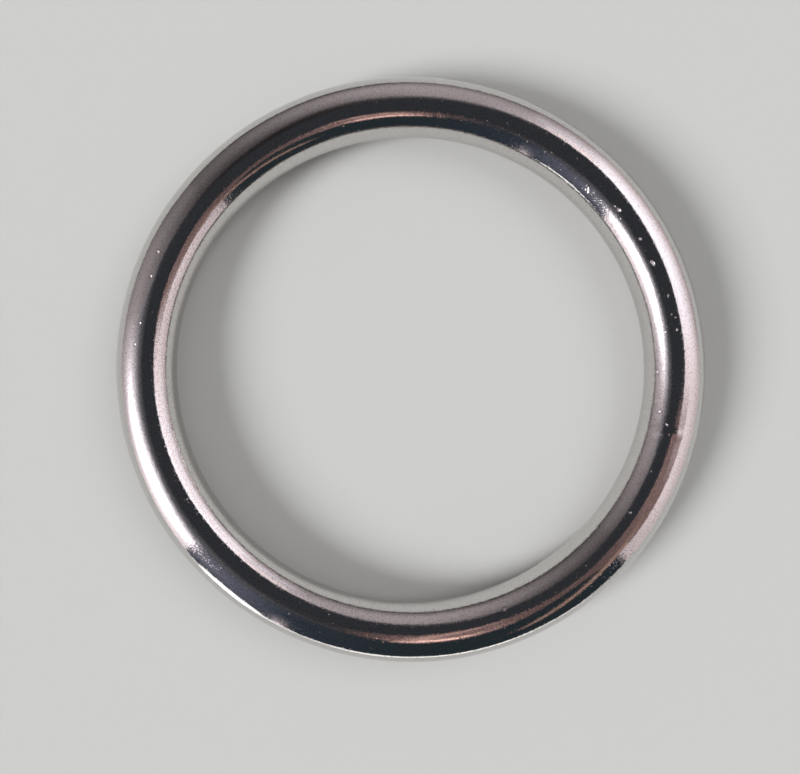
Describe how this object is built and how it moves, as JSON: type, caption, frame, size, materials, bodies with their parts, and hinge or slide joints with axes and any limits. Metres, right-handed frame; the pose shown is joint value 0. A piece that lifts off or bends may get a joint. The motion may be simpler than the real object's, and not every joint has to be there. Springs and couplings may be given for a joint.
{
  "type": "welded o-ring",
  "caption": "Plain round ring of plated round steel bar, its ends butt-welded and dressed flush, for joining straps, cords and hooks.",
  "frame": {"origin": "centre of the ring, halfway through the bar's thickness", "axes": "+Z along the ring's axis, up as it lies on a table; the weld is 14 degrees round from +X towards -Y"},
  "size_m": [0.0636, 0.0634, 0.0064],
  "materials": {
    "nickel_plate": "bright nickel plating on steel, mirror-like with a fine grain, small dents and rubbed places"
  },
  "bodies": {
    "root": {"ring": "nickel_plate"}
  },
  "joints": []
}
